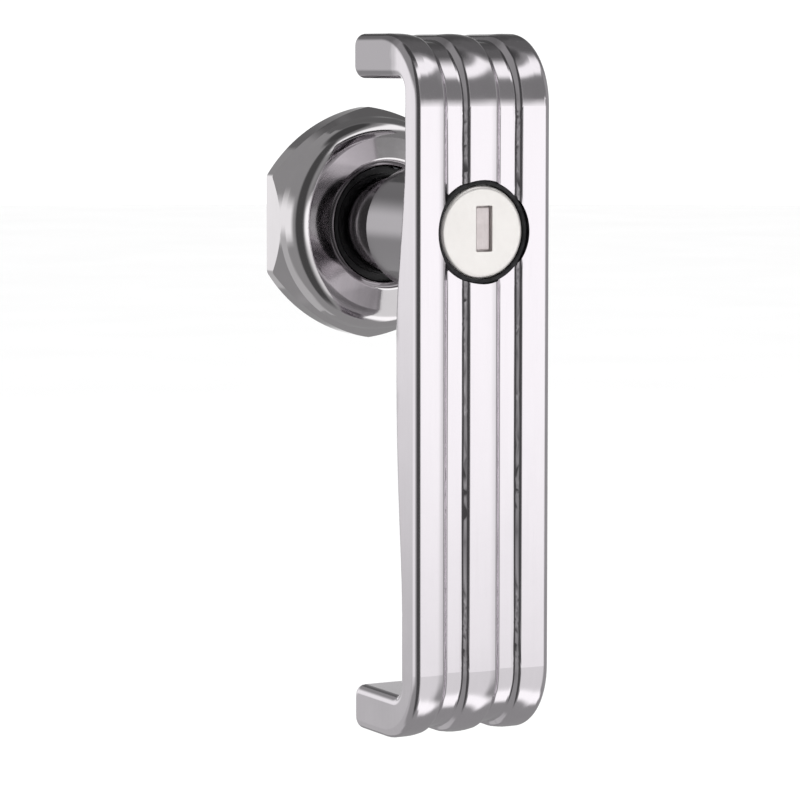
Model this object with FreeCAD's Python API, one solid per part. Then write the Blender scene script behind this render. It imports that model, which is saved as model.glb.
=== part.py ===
"""Lockable tilt turn handle: ribbed grip, key lock, locking bolt, detents, spindle and domed hexagonal rosette.

Frame: the origin is on the mounting face, on the axis of the square spindle. +Z is up along the grip, +X is to the
right as the handle is faced, and -Y points out of the sash towards the hand. Heights above the mounting face are
given as positive numbers and lie along -Y. The handle is closed, with its long end hanging, and is unlocked.
"""

import FreeCAD, Part

import math
import os

Vector = FreeCAD.Vector

# Axes
ALONG_X = Vector(1, 0, 0)
ALONG_Y = Vector(0, 1, 0)
ALONG_Z = Vector(0, 0, 1)
OUTWARD = Vector(0, -1, 0)

# Grip casting
GRIP_FRONT = 49.5  # height of the rib fronts
GRIP_WIDTH = 29.0
GRIP_TOP = 36.8
GRIP_BOTTOM = -96.0
RETURN_END = 24.0  # height at which the two returned ends stop
TOP_RETURN_THICKNESS = 8.4
BOTTOM_RETURN_THICKNESS = 8.6
BEND_RADIUS = 13.5  # outer bends
INNER_BEND_RADIUS = 2.5
END_CORNER_RADIUS = 2.4
PLATE_THIN = 6.7  # at the bottom of the grip
PLATE_THICK = 8.9  # below the boss
PLATE_TOP = 5.4  # between the boss and the top return
SIDE_EDGE_RADIUS = 1.7

# Three crowned ribs and the two grooves between them
GROOVE_CENTRE = 5.6
GROOVE_DEPTH = 1.45
GROOVE_FLOOR = 2.5
GROOVE_MOUTH = 5.8
RIB_CROWN_RADIUS = 12.0
MIDDLE_RIB_DROP = 0.03  # the middle rib's crest below the outer ribs' crests

# Boss and neck of the grip
BOSS_RADIUS = 12.0
BOSS_START = 25.0
NECK_RADIUS = 9.7
NECK_END = 2.8
NECK_TIP_TOP = 6.8  # below this height the neck is reduced for the detent wheel
NECK_TIP_RADIUS = 9.0
NECK_FLAT = 8.2  # half distance between the two flats that key the wheel
SPINDLE_FIT = 0.02  # clearance on each side of the spindle
WHEEL_FIT = 0.02

# Base plate
FLOOR = 2.4
BASE_ACROSS_FLATS = 39.4
BASE_CORNER_RADIUS = 21.5
COLLAR_RADIUS = 14.0
COLLAR_TOP = 10.1
BORE_RADIUS = 12.4
SPINDLE_HOLE_RADIUS = 5.2
CIRCLIP_GROOVE_RADIUS = 13.0
CIRCLIP_LOW = 8.8
CIRCLIP_THICKNESS = 0.8
CIRCLIP_INNER_RADIUS = 11.5
CIRCLIP_GAP = 3.2
CIRCLIP_EYE_X = 2.7
CIRCLIP_EYE_RADIUS = 0.9
CIRCLIP_EYE_HOLE_RADIUS = 0.4

# Rosette cover
COVER_HALF_WIDTH = 20.9  # to the two upright flats
COVER_FLAT_HALF = 9.4  # half length of an upright flat
COVER_SIDE_X = 11.0  # middle of a barrelled side
COVER_SIDE_Z = 18.8
COVER_HALF_HEIGHT = 22.7
COVER_CORNER_ROUND = 1.6
SKIRT_RADIUS = 24.0  # the skirt's cone, larger than the outline
SKIRT_LOW = 0.4
SKIRT_TOP_RADIUS = 20.98
SKIRT_TOP = 6.0
SHOULDER_RADIUS = 4.4
SHOULDER_CENTRE = 16.4
SHOULDER_HEIGHT = 6.4
LIP_RADIUS = 1.65
LIP_CENTRE = 12.75
LIP_HEIGHT = 9.55
COVER_UNDERSIDE = 10.2  # inside the cover, above the collar
UNDERSIDE_RADIUS = 14.3
INNER_SHOULDER_RADIUS = 3.2
INNER_SHOULDER_CENTRE = 16.3
INNER_SHOULDER_HEIGHT = 6.5

# Spindle and its pin
SPINDLE_SIDE = 7.0
SPINDLE_TOP = 16.0
SPINDLE_REACH = 30.0  # behind the mounting face
SPINDLE_CHAMFER = 0.8
CROSS_PIN_RADIUS = 1.0
CROSS_PIN_HEIGHT = 4.6

# Detent wheel and spring
WHEEL_RADIUS = 10.8
WHEEL_TOP = 6.4
NOTCH_RADIUS = 1.9
NOTCH_CENTRE = 12.1
DETENT_BAND_RADIUS = 11.4
DETENT_BAND_THICKNESS = 0.6
DETENT_BAND_LOW = 3.4
DETENT_BAND_TOP = 5.8
DETENT_BAND_GAP = 4.4
DETENT_TAB_END = 13.2

# Bush, washer and fixing screws
BUSH_LOW = 6.7
BUSH_TOP = 8.7
RUNNING_GAP = 0.05
WASHER_THICKNESS = 0.3
SCREW_SPACING = 35.5
SCREW_RADIUS = 2.0
SCREW_HOLE_RADIUS = 2.2
SCREW_HEAD_RADIUS = 3.5
SCREW_NECK_RADIUS = 1.75
SCREW_REACH = 14.0
SCREW_POINT = 1.6
SCREW_TIP_RADIUS = 0.9
THREAD_START = 0.3  # behind the mounting face
RECESS_REACH = 1.9
RECESS_WIDTH = 0.7
RECESS_FLOOR = 1.3

# Lock barrel, seal and plug
BARREL_RADIUS = 9.2
BARREL_LOW = 27.0
BARREL_TOP = 47.2
BARREL_REAR_WALL = 2.0
BARREL_PIN_RADIUS = 1.0
BARREL_PIN_HEIGHT = 33.0
BARREL_PIN_LENGTH = 4.6
SEAL_RADIUS = 9.65
PLUG_RADIUS = 6.2
PLUG_FLANGE_RADIUS = 8.0
PLUG_FLANGE_LOW = 45.75
JOURNAL_RADIUS = 3.2
TAIL_LOW = 20.4
CAP_LOW = 47.5
CAP_TOP = 48.7
CAP_RADIUS = 8.7
KEY_SLOT_WIDTH = 3.5
KEY_SLOT_HEIGHT = 8.6
KEY_SLOT_X = 0.4
KEY_SLOT_Z = 0.6
KEYWAY_WIDTH = 3.0
KEYWAY_HEIGHT = 8.6
KEYWAY_END = 30.4
CAP_EDGE_RADIUS = 0.8

# Dust shutter
HINGE_X = -2.4
HINGE_HEIGHT = 46.55
HINGE_PIN_RADIUS = 0.4
POCKET_LOW = 41.4
FLAP_EDGE = 2.5
FLAP_BOTTOM = -4.0
FLAP_TOP = 5.1
PANEL_GAP = 0.33  # between the flap's raised panel and the sides of the key slot
PANEL_FRONT = 48.1
PANEL_EDGE_RADIUS = 0.2
KNUCKLE_LENGTH = 2.6
KNUCKLE_RADIUS = 0.75
SHUTTER_COIL_RADIUS = 0.6
SHUTTER_WIRE_RADIUS = 0.12
SHUTTER_COIL_PITCH = 0.5
SHUTTER_COIL_LENGTH = 3.0

# Wafers
WAFER_COUNT = 5
WAFER_FIRST = 31.4
WAFER_PITCH = 2.1
WAFER_THICKNESS = 0.8
WAFER_HALF_WIDTH = 3.8
WAFER_HALF_HEIGHT = 5.6
WAFER_WINDOW_LESS = 0.3  # the wafer's key window is narrower than the keyway by this
WAFER_SPRING_X = 2.95
WAFER_SPRING_HOLE_RADIUS = 0.7
WAFER_SPRING_HOLE_LOW = -5.0
WAFER_SPRING_HOLE_LENGTH = 3.8
WAFER_COIL_RADIUS = 0.5
WAFER_WIRE_RADIUS = 0.14
WAFER_COIL_PITCH = 0.75
WAFER_COIL_LENGTH = 3.0

# Locking cam and bolt
CAM_RADIUS = 4.2
CAM_LOW = 17.8
CAM_TOP = 26.6
CAM_SHAFT_SIDE = 3.6
CAM_SCREW_RADIUS = 1.25
CAM_SCREW_HEAD_RADIUS = 2.3
CAM_SCREW_SEAT = 19.6
CAM_SCREW_END = 25.4
CHAMBER_RADIUS = 4.5
CHAMBER_LOW = 17.4
BOLT_OFFSET = 6.8  # distance of the bolt from the turn axis
BOLT_RADIUS = 1.6
BOLT_TRAVEL = 2.6
BOLT_LOW = 3.0
BOLT_TOP = 25.4
FOLLOWER_RADIUS = 0.9
FOLLOWER_HEIGHT = 23.6
CAM_GROOVE_RADIUS = 3.1
CAM_GROOVE_GAP = 0.25
CAM_GROOVE_SPARE = 22.0  # extra angle of the groove beyond each end of the follower's path
CAM_TURN = 90.0
FOLLOWER_LENGTH = 4.4


def disc(radius, low, high, x=0.0, z=0.0):
    """A round bar along the turn axis direction, between two heights above the mounting face."""
    return Part.makeCylinder(radius, high - low, Vector(x, -low, z), OUTWARD)


def ring(outer, inner, low, high):
    """A round collar between two heights."""
    return disc(outer, low, high).cut(disc(inner, low - 1, high + 1))


def block(x_low, x_high, low, high, z_low, z_high):
    """A box given by its limits, with heights in place of y."""
    return Part.makeBox(x_high - x_low, high - low, z_high - z_low, Vector(x_low, -high, z_low))


def face_of(points):
    """A flat face from a closed list of points."""
    return Part.Face(Part.makePolygon(points + [points[0]]))


def hexagon(across_flats, low, high):
    """A hexagonal bar with flats facing left and right and corners facing up and down."""
    reach = across_flats / 2 / math.cos(math.radians(30))
    corners = []
    for step in range(6):
        turn = math.radians(60 * step)
        corners.append(Vector(reach * math.sin(turn), -low, reach * math.cos(turn)))
    return face_of(corners).extrude(Vector(0, low - high, 0))


def turned_hexagon(across_flats, corner_radius, low, high):
    """A hexagonal bar whose corners have been turned down to a radius."""
    return hexagon(across_flats, low, high).common(disc(corner_radius, low, high))


def lathe(profile):
    """A full turn of a closed outline of edges in the plane x, height."""
    return Part.Face(Part.Wire(profile)).revolve(Vector(0, 0, 0), ALONG_Y, 360)


def at(radius, height):
    """A point of a lathe outline."""
    return Vector(radius, -height, 0)


def line(start, end):
    """A straight edge."""
    return Part.makeLine(start, end)


def bend(start, middle, end):
    """A curved edge through three points."""
    return Part.Arc(start, middle, end).toShape()


def side_point(height, z):
    """A point of the grip's side outline."""
    return Vector(0, -height, z)


def coil(radius, wire, pitch, length, start):
    """A helical spring that winds upwards from a point."""
    helix = Part.makeHelix(pitch, length, radius)
    section = Part.Circle(Vector(radius, 0, 0), ALONG_Y, wire)
    wound = Part.Wire(helix).makePipeShell([Part.Wire(section.toShape())], True, True)
    wound.translate(start)
    return wound


def grip_side_edges(inset):
    """The grip's outer line from the top return's end round both bends, moved inwards by an inset."""
    front = GRIP_FRONT - inset
    top = GRIP_TOP - inset
    bottom = GRIP_BOTTOM + inset
    radius = BEND_RADIUS - inset
    slant = radius * (1 - math.sqrt(0.5))
    return [
        line(side_point(RETURN_END - 2, top), side_point(front - radius, top)),
        bend(side_point(front - radius, top), side_point(front - slant, top - slant), side_point(front, top - radius)),
        line(side_point(front, top - radius), side_point(front, bottom + radius)),
        bend(
            side_point(front, bottom + radius),
            side_point(front - slant, bottom + slant),
            side_point(front - radius, bottom),
        ),
        line(side_point(front - radius, bottom), side_point(RETURN_END - 2, bottom)),
    ]


def grip_back_line():
    """The grip's inner line from the bottom return's end to the top return's end."""
    bottom_inner = GRIP_BOTTOM + BOTTOM_RETURN_THICKNESS
    top_inner = GRIP_TOP - TOP_RETURN_THICKNESS
    thin = GRIP_FRONT - PLATE_THIN
    thick = GRIP_FRONT - PLATE_THICK
    upper = GRIP_FRONT - PLATE_TOP
    radius = INNER_BEND_RADIUS
    slant = radius * (1 - math.sqrt(0.5))
    swell = Part.BezierCurve()
    swell.setPoles([side_point(thin, -72), side_point(thin, -60), side_point(thick, -50), side_point(thick, -26)])
    fall = Part.BezierCurve()
    fall.setPoles([side_point(thick, -20), side_point(thick, -8), side_point(upper, 4), side_point(upper, 16)])
    return [
        line(side_point(RETURN_END, bottom_inner), side_point(thin - radius, bottom_inner)),
        bend(
            side_point(thin - radius, bottom_inner),
            side_point(thin - slant, bottom_inner + slant),
            side_point(thin, bottom_inner + radius),
        ),
        line(side_point(thin, bottom_inner + radius), side_point(thin, -72)),
        swell.toShape(),
        line(side_point(thick, -26), side_point(thick, -20)),
        fall.toShape(),
        line(side_point(upper, 16), side_point(upper, top_inner - radius)),
        bend(
            side_point(upper, top_inner - radius),
            side_point(upper - slant, top_inner - slant),
            side_point(upper - radius, top_inner),
        ),
        line(side_point(upper - radius, top_inner), side_point(RETURN_END, top_inner)),
    ]


def grip_bar():
    """The C-shaped bar of the grip before its grooves and bores."""
    outer = grip_side_edges(0)
    outer[0] = line(side_point(RETURN_END, GRIP_TOP), side_point(GRIP_FRONT - BEND_RADIUS, GRIP_TOP))
    outer[-1] = line(side_point(GRIP_FRONT - BEND_RADIUS, GRIP_BOTTOM), side_point(RETURN_END, GRIP_BOTTOM))
    bottom_end = line(
        side_point(RETURN_END, GRIP_BOTTOM), side_point(RETURN_END, GRIP_BOTTOM + BOTTOM_RETURN_THICKNESS)
    )
    top_end = line(side_point(RETURN_END, GRIP_TOP - TOP_RETURN_THICKNESS), side_point(RETURN_END, GRIP_TOP))
    outline = Part.Wire(outer + [bottom_end] + grip_back_line() + [top_end])
    bar = Part.Face(outline).extrude(Vector(GRIP_WIDTH, 0, 0))
    bar.translate(Vector(-GRIP_WIDTH / 2, 0, 0))
    return round_side_edges(round_end_corners(bar))


def round_end_corners(bar):
    """Rounds the corners of the two returned ends."""
    corners = []
    for edge in bar.Edges:
        box = edge.BoundBox
        if box.XLength > GRIP_WIDTH - 1 and abs(box.YMax + RETURN_END) < 0.01:
            corners.append(edge)
    return bar.makeFillet(END_CORNER_RADIUS, corners)


def round_side_edges(bar):
    """Rounds the outline of both flanks."""
    outline = []
    for edge in bar.Edges:
        box = edge.BoundBox
        if box.XLength < 0.01 and abs(abs(box.XMin) - GRIP_WIDTH / 2) < 0.01:
            outline.append(edge)
    return bar.makeFillet(SIDE_EDGE_RADIUS, outline)


def wall_curve(top_x, floor_x, side):
    """The soft wall from a rib's shoulder down to a groove's floor. side is 1 where it falls towards +X, else -1."""
    shoulder_drop = crown_drop(GROOVE_CENTRE - GROOVE_MOUTH / 2)
    slope = (GROOVE_CENTRE - GROOVE_MOUTH / 2) / RIB_CROWN_RADIUS
    handle = abs(floor_x - top_x) * 0.55
    top = GRIP_TOP - shoulder_drop
    floor = GRIP_TOP - GROOVE_DEPTH
    wall = Part.BezierCurve()
    wall.setPoles(
        [
            section_point(top_x, top),
            section_point(top_x + side * handle, top - handle * slope),
            section_point(floor_x - side * handle, floor),
            section_point(floor_x, floor),
        ]
    )
    return wall.toShape()


def crown_drop(distance):
    """How far a rib's crowned face has fallen at a distance from its crest."""
    return RIB_CROWN_RADIUS - math.sqrt(RIB_CROWN_RADIUS**2 - distance**2)


def section_point(x, z):
    """A point of the ribs' cross section, which lies across the grip's top return."""
    return Vector(x, -(RETURN_END - 2), z)


def rib_cutter():
    """What is cut from the bar's outer side, from end to end, to leave three crowned ribs and two grooves."""
    half_mouth = GROOVE_MOUTH / 2
    half_floor = GROOVE_FLOOR / 2
    face = GROOVE_CENTRE - half_mouth
    shoulder = GRIP_TOP - crown_drop(face)
    floor = GRIP_TOP - GROOVE_DEPTH
    cover = GRIP_TOP + 1.0
    outer = 2 * GROOVE_CENTRE
    left = -GROOVE_CENTRE
    right = GROOVE_CENTRE
    crest = GRIP_TOP - MIDDLE_RIB_DROP
    half_drop = crown_drop(face / 2)
    section = Part.Wire(
        [
            bend(
                section_point(-outer, GRIP_TOP),
                section_point(-outer + face / 2, GRIP_TOP - half_drop),
                section_point(-outer + face, shoulder),
            ),
            wall_curve(left - half_mouth, left - half_floor, 1),
            line(section_point(left - half_floor, floor), section_point(left + half_floor, floor)),
            wall_curve(left + half_mouth, left + half_floor, -1),
            bend(section_point(-face, shoulder), section_point(0, crest), section_point(face, shoulder)),
            wall_curve(right - half_mouth, right - half_floor, 1),
            line(section_point(right - half_floor, floor), section_point(right + half_floor, floor)),
            wall_curve(right + half_mouth, right + half_floor, -1),
            bend(
                section_point(outer - face, shoulder),
                section_point(outer - face / 2, GRIP_TOP - half_drop),
                section_point(outer, GRIP_TOP),
            ),
            line(section_point(outer, GRIP_TOP), section_point(outer, cover)),
            line(section_point(outer, cover), section_point(-outer, cover)),
            line(section_point(-outer, cover), section_point(-outer, GRIP_TOP)),
        ]
    )
    path = Part.Wire(grip_side_edges(0))
    return path.makePipeShell([section], True, False)


def make_grip():
    """The grip casting: ribbed bar, boss and neck, bored for the lock, the cam, the bolt and the spindle."""
    grip = grip_bar().cut(rib_cutter())
    boss = disc(BOSS_RADIUS, BOSS_START, GRIP_FRONT - PLATE_TOP)
    neck = disc(NECK_RADIUS, NECK_TIP_TOP, BOSS_START)
    tip = disc(NECK_TIP_RADIUS, NECK_END, NECK_TIP_TOP)
    tip = tip.common(block(-20, 20, 0, 20, -NECK_FLAT, NECK_FLAT))
    grip = grip.fuse([boss, neck, tip])
    socket = SPINDLE_SIDE / 2 + SPINDLE_FIT
    hollows = [
        disc(SEAL_RADIUS + 0.05, BARREL_TOP, GRIP_FRONT + 1),
        disc(BARREL_RADIUS + 0.05, BARREL_LOW, GRIP_FRONT),
        disc(CHAMBER_RADIUS, CHAMBER_LOW, BARREL_LOW + 1),
        block(-socket, socket, 0, SPINDLE_TOP + 0.1, -socket, socket),
        disc(BOLT_RADIUS + RUNNING_GAP, NECK_END - 1, BARREL_LOW, BOLT_OFFSET),
        follower_window(),
        cross_pin(),
        barrel_pin(),
    ]
    for hollow in hollows:
        grip = grip.cut(hollow)
    return grip.removeSplitter()


def follower_window():
    """The slot through which the bolt's follower reaches the cam."""
    half = FOLLOWER_RADIUS + 0.15
    low = FOLLOWER_HEIGHT - BOLT_TRAVEL - half
    return block(0, BOLT_OFFSET, low, FOLLOWER_HEIGHT + half, -half, half)


def make_base_plate():
    """The fixed base: hexagonal floor with a round collar that guides the neck."""
    floor = turned_hexagon(BASE_ACROSS_FLATS, BASE_CORNER_RADIUS, 0, FLOOR)
    base = floor.fuse(disc(COLLAR_RADIUS, 0, COLLAR_TOP))
    base = base.cut(disc(BORE_RADIUS, FLOOR, COLLAR_TOP + 1))
    base = base.cut(disc(SPINDLE_HOLE_RADIUS, -1, FLOOR + 1))
    groove_ring = ring(CIRCLIP_GROOVE_RADIUS, BORE_RADIUS - 1, CIRCLIP_LOW, CIRCLIP_LOW + CIRCLIP_THICKNESS)
    base = base.cut(groove_ring)
    for side in (-1, 1):
        base = base.cut(disc(BOLT_RADIUS + 0.2, -1, FLOOR + 1, side * BOLT_OFFSET))
        z = side * SCREW_SPACING / 2
        base = base.cut(disc(SCREW_HOLE_RADIUS, -1, FLOOR + 1, 0, z))
        base = base.cut(screw_head(z, 0.1))
    base = base.cut(detent_tab(0.1))
    return base.removeSplitter()


def screw_head(z, gap):
    """The countersunk cone of a fixing screw, or its seat when a gap is given."""
    depth = SCREW_HEAD_RADIUS - SCREW_NECK_RADIUS
    low = FLOOR - 0.1 - depth
    top_radius = SCREW_HEAD_RADIUS + gap
    cone = Part.makeCone(SCREW_NECK_RADIUS + gap, top_radius, depth, Vector(0, -low, z), OUTWARD)
    return cone.fuse(disc(top_radius, FLOOR - 0.1, FLOOR + gap, 0, z)) if gap else cone


def make_fixing_screws():
    """Two countersunk screws with crossed recesses, which stand out behind the mounting face."""
    screws = []
    reach = RECESS_REACH
    half = RECESS_WIDTH / 2
    for z in (-SCREW_SPACING / 2, SCREW_SPACING / 2):
        shank = disc(SCREW_NECK_RADIUS, -THREAD_START, FLOOR - 1.5, 0, z)
        thread = disc(SCREW_RADIUS, -SCREW_REACH, -THREAD_START, 0, z)
        point = Part.makeCone(SCREW_RADIUS, SCREW_TIP_RADIUS, SCREW_POINT, Vector(0, SCREW_REACH, z), ALONG_Y)
        screw = screw_head(z, 0).fuse([shank, thread, point])
        screw = screw.cut(block(-reach, reach, RECESS_FLOOR, FLOOR, z - half, z + half))
        screw = screw.cut(block(-half, half, RECESS_FLOOR, FLOOR, z - reach, z + reach))
        screws.append(screw.removeSplitter())
    return Part.makeCompound(screws)


def cover_outline():
    """The cover's outline: two upright flats and four barrelled sides, with rounded corners."""
    x = COVER_HALF_WIDTH
    z = COVER_FLAT_HALF
    side_x = COVER_SIDE_X
    side_z = COVER_SIDE_Z
    top = COVER_HALF_HEIGHT
    outline = Part.Wire(
        [
            line(Vector(-x, 0, -z), Vector(-x, 0, z)),
            bend(Vector(-x, 0, z), Vector(-side_x, 0, side_z), Vector(0, 0, top)),
            bend(Vector(0, 0, top), Vector(side_x, 0, side_z), Vector(x, 0, z)),
            line(Vector(x, 0, z), Vector(x, 0, -z)),
            bend(Vector(x, 0, -z), Vector(side_x, 0, -side_z), Vector(0, 0, -top)),
            bend(Vector(0, 0, -top), Vector(-side_x, 0, -side_z), Vector(-x, 0, -z)),
        ]
    )
    prism = Part.Face(outline).extrude(OUTWARD * (COVER_UNDERSIDE + 2 * LIP_RADIUS))
    upright = [edge for edge in prism.Edges if edge.BoundBox.YLength > 1]
    return prism.makeFillet(COVER_CORNER_ROUND, upright)


def on_circle(centre, height, radius, tilt):
    """A point of a turned profile on a circle, whose normal leans outwards by an angle in degrees."""
    angle = math.radians(tilt)
    return at(centre + radius * math.sin(angle), height + radius * math.cos(angle))


def shoulder_arc(centre, height, radius, steepest):
    """The cover's round shoulder in profile, from its steep outer end to its nearly flat inner end."""
    return bend(
        on_circle(centre, height, radius, steepest),
        on_circle(centre, height, radius, 40),
        on_circle(centre, height, radius, 6),
    )


def make_rosette_cover():
    """The cover: a prism cut by a turned skirt, round shoulder, nearly flat face and rolled mouth."""
    shoulder = shoulder_arc(SHOULDER_CENTRE, SHOULDER_HEIGHT, SHOULDER_RADIUS, 74)
    lip_end = LIP_CENTRE - math.sqrt(LIP_RADIUS**2 - (COVER_UNDERSIDE - LIP_HEIGHT) ** 2)
    lip = bend(
        on_circle(LIP_CENTRE, LIP_HEIGHT, LIP_RADIUS, 6),
        on_circle(LIP_CENTRE, LIP_HEIGHT, LIP_RADIUS, -35),
        at(lip_end, COVER_UNDERSIDE),
    )
    inside = shoulder_arc(INNER_SHOULDER_CENTRE, INNER_SHOULDER_HEIGHT, INNER_SHOULDER_RADIUS, 86)
    wall = on_circle(INNER_SHOULDER_CENTRE, INNER_SHOULDER_HEIGHT, INNER_SHOULDER_RADIUS, 86)
    foot = at(INNER_SHOULDER_CENTRE + INNER_SHOULDER_RADIUS, 0)
    profile = [
        line(foot, at(SKIRT_RADIUS, 0)),
        line(at(SKIRT_RADIUS, 0), at(SKIRT_RADIUS, SKIRT_LOW)),
        line(at(SKIRT_RADIUS, SKIRT_LOW), at(SKIRT_TOP_RADIUS, SKIRT_TOP)),
        line(at(SKIRT_TOP_RADIUS, SKIRT_TOP), on_circle(SHOULDER_CENTRE, SHOULDER_HEIGHT, SHOULDER_RADIUS, 74)),
        shoulder,
        line(
            on_circle(SHOULDER_CENTRE, SHOULDER_HEIGHT, SHOULDER_RADIUS, 6),
            on_circle(LIP_CENTRE, LIP_HEIGHT, LIP_RADIUS, 6),
        ),
        lip,
        line(at(lip_end, COVER_UNDERSIDE), at(UNDERSIDE_RADIUS, COVER_UNDERSIDE)),
        line(
            at(UNDERSIDE_RADIUS, COVER_UNDERSIDE),
            on_circle(INNER_SHOULDER_CENTRE, INNER_SHOULDER_HEIGHT, INNER_SHOULDER_RADIUS, 6),
        ),
        inside,
        line(wall, foot),
    ]
    cover = cover_outline().common(lathe(profile))
    seat = turned_hexagon(BASE_ACROSS_FLATS + 0.2, BASE_CORNER_RADIUS + 0.1, 0, FLOOR)
    return cover.cut(seat)


def make_bearing_bush():
    """The plastic bush in which the neck turns."""
    return ring(BORE_RADIUS, NECK_RADIUS + RUNNING_GAP, BUSH_LOW, BUSH_TOP)


def make_collar_circlip():
    """The split ring above the bush, with two eyes for the pliers."""
    low = CIRCLIP_LOW + RUNNING_GAP
    high = CIRCLIP_LOW + CIRCLIP_THICKNESS - RUNNING_GAP
    half_gap = CIRCLIP_GAP / 2
    clip = ring(CIRCLIP_GROOVE_RADIUS - RUNNING_GAP, CIRCLIP_INNER_RADIUS, low, high)
    clip = clip.cut(block(-half_gap, half_gap, low - 1, high + 1, 0, 20))
    for x in (-CIRCLIP_EYE_X, CIRCLIP_EYE_X):
        clip = clip.fuse(disc(CIRCLIP_EYE_RADIUS, low, high, x, CIRCLIP_INNER_RADIUS))
        clip = clip.cut(disc(CIRCLIP_EYE_HOLE_RADIUS, low - 1, high + 1, x, CIRCLIP_INNER_RADIUS))
    return clip.removeSplitter()


def detent_tab(gap):
    """The bent tab that stops the detent spring from turning, or its slot when a gap is given."""
    low = DETENT_BAND_LOW - gap
    high = DETENT_BAND_TOP + gap
    return block(-1.0 - gap, 1.0 + gap, low, high, -DETENT_TAB_END - gap, -DETENT_BAND_RADIUS - 0.1)


def make_detent_spring():
    """The open ring spring whose two lobes sit in the detent wheel's notches."""
    low = DETENT_BAND_LOW
    high = DETENT_BAND_TOP
    outer = DETENT_BAND_RADIUS + DETENT_BAND_THICKNESS
    lobe_radius = NOTCH_RADIUS - 0.1
    half_gap = DETENT_BAND_GAP / 2
    band = ring(outer, DETENT_BAND_RADIUS, low, high)
    for x in (-NOTCH_CENTRE, NOTCH_CENTRE):
        lobe = disc(lobe_radius, low, high, x)
        band = band.fuse(lobe.common(disc(outer, low, high)))
        band = band.cut(disc(lobe_radius - DETENT_BAND_THICKNESS, low - 1, high + 1, x))
    band = band.cut(block(-half_gap, half_gap, low - 1, high + 1, 0, 20))
    return band.fuse(detent_tab(0)).removeSplitter()


def make_thrust_washer():
    """The thin washer between the base floor and the neck."""
    low = FLOOR + 0.02
    washer = ring(WHEEL_RADIUS - 0.2, SPINDLE_HOLE_RADIUS, low, low + WASHER_THICKNESS)
    for side in (-1, 1):
        washer = washer.cut(disc(BOLT_RADIUS + 0.2, low - 1, low + 2, side * BOLT_OFFSET))
    return washer


def make_detent_wheel():
    """The wheel on the neck with a notch at every quarter turn."""
    wheel = disc(WHEEL_RADIUS, NECK_END, WHEEL_TOP)
    bore = disc(NECK_TIP_RADIUS + WHEEL_FIT, NECK_END - 1, WHEEL_TOP + 1)
    flat = NECK_FLAT + WHEEL_FIT
    wheel = wheel.cut(bore.common(block(-20, 20, 0, 20, -flat, flat)))
    for step in range(4):
        turn = math.radians(90 * step)
        notch = disc(
            NOTCH_RADIUS, NECK_END - 1, WHEEL_TOP + 1, NOTCH_CENTRE * math.cos(turn), NOTCH_CENTRE * math.sin(turn)
        )
        wheel = wheel.cut(notch)
    return wheel.cut(cross_pin())


def cross_pin():
    """The pin through wheel, neck and spindle, halfway between two notches."""
    reach = WHEEL_RADIUS - 0.1
    slant = Vector(1, 0, 1)
    slant.normalize()
    start = Vector(0, -CROSS_PIN_HEIGHT, 0) - slant * reach
    return Part.makeCylinder(CROSS_PIN_RADIUS, 2 * reach, start, slant)


def make_spindle():
    """The square spindle, chamfered at its far end."""
    half = SPINDLE_SIDE / 2
    spindle = block(-half, half, -SPINDLE_REACH, SPINDLE_TOP, -half, half)
    far_edges = [edge for edge in spindle.Edges if edge.BoundBox.YMin > SPINDLE_REACH - 0.01]
    return spindle.makeChamfer(SPINDLE_CHAMFER, far_edges).cut(cross_pin())


def barrel_pin():
    """The pin that keys the lock barrel in the boss, from below."""
    start = Vector(0, -BARREL_PIN_HEIGHT, -BOSS_RADIUS + 0.1)
    return Part.makeCylinder(BARREL_PIN_RADIUS, BARREL_PIN_LENGTH, start, ALONG_Z)


def make_lock_barrel():
    """The fixed body of the key lock."""
    barrel = disc(BARREL_RADIUS, BARREL_LOW, BARREL_TOP)
    hollows = [
        disc(PLUG_RADIUS + RUNNING_GAP, BARREL_LOW + BARREL_REAR_WALL, BARREL_TOP),
        disc(PLUG_FLANGE_RADIUS + RUNNING_GAP, PLUG_FLANGE_LOW - 0.05, BARREL_TOP + 1),
        disc(JOURNAL_RADIUS + RUNNING_GAP, BARREL_LOW - 1, BARREL_TOP),
        barrel_pin(),
    ]
    for hollow in hollows:
        barrel = barrel.cut(hollow)
    return barrel


def make_lock_seal():
    """The rubber ring round the lock face."""
    seal = ring(SEAL_RADIUS, CAP_RADIUS + 0.1, BARREL_TOP + 0.05, CAP_TOP - 0.05)
    edges = [edge for edge in seal.Edges if edge.BoundBox.YMax < -CAP_TOP + 0.1]
    return seal.makeFillet(0.3, edges)


def wafer_heights():
    """The height at which each wafer starts."""
    return [WAFER_FIRST + step * WAFER_PITCH for step in range(WAFER_COUNT)]


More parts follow.
